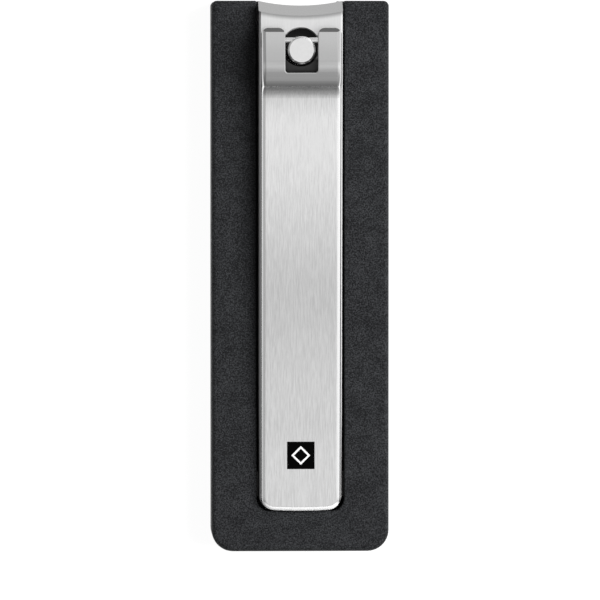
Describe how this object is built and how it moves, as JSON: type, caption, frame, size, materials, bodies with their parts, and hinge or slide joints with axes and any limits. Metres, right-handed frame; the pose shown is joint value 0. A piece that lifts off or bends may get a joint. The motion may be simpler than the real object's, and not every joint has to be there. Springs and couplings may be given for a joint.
{
  "type": "nail clipper",
  "caption": "Nail clipper in a flat plastic case that catches clippings: sprung steel jaws with curved cutting edges, and a lever on a post that swivels and flips over.",
  "frame": {"origin": "centre of the case's flat back", "axes": "+Z out of the face that carries the lever, +Y along the clipper from the cutting end to the closed end, X across"},
  "size_m": [0.0258, 0.08, 0.0149],
  "materials": {
    "case_plastic": "fine moulded texture",
    "cover_plastic": "fine moulded texture",
    "jaw_steel": "brushed, with ground and polished beaks",
    "lever_steel": "brushed lengthwise, polished hump and edges",
    "polished_steel": "polished",
    "mark_enamel": "smooth enamel"
  },
  "bodies": {
    "case": {"case_front_shell": "case_plastic", "case_back_cover": "cover_plastic"},
    "clipper": {"lower_jaw": "jaw_steel", "jaw_rivets": "polished_steel"},
    "upper_jaw": {"upper_jaw": "jaw_steel"},
    "post": {"post": "polished_steel"},
    "lever": {"lever": "lever_steel", "lever_pin": "polished_steel", "lever_mark": "mark_enamel"}
  },
  "joints": [
    {"name": "clipper_slide", "type": "slide", "parent": "case", "child": "clipper", "axis": [0, -1, 0], "range_m": [0, 0.06]},
    {"name": "jaw_squeeze", "type": "hinge", "parent": "clipper", "child": "upper_jaw", "pos_m": [0, 0.0305, 0.00705], "axis": [1, 0, 0], "range_deg": [0, 1.78], "stiffness_Nm_per_rad": 20},
    {"name": "lever_swivel", "type": "hinge", "parent": "clipper", "child": "post", "pos_m": [0, -0.0328, 0.007], "axis": [0, 0, 1], "continuous": true},
    {"name": "lever_flip", "type": "hinge", "parent": "post", "child": "lever", "pos_m": [0, -0.0342, 0.01331], "axis": [1, 0, 0], "range_deg": [0, 155]}
  ]
}
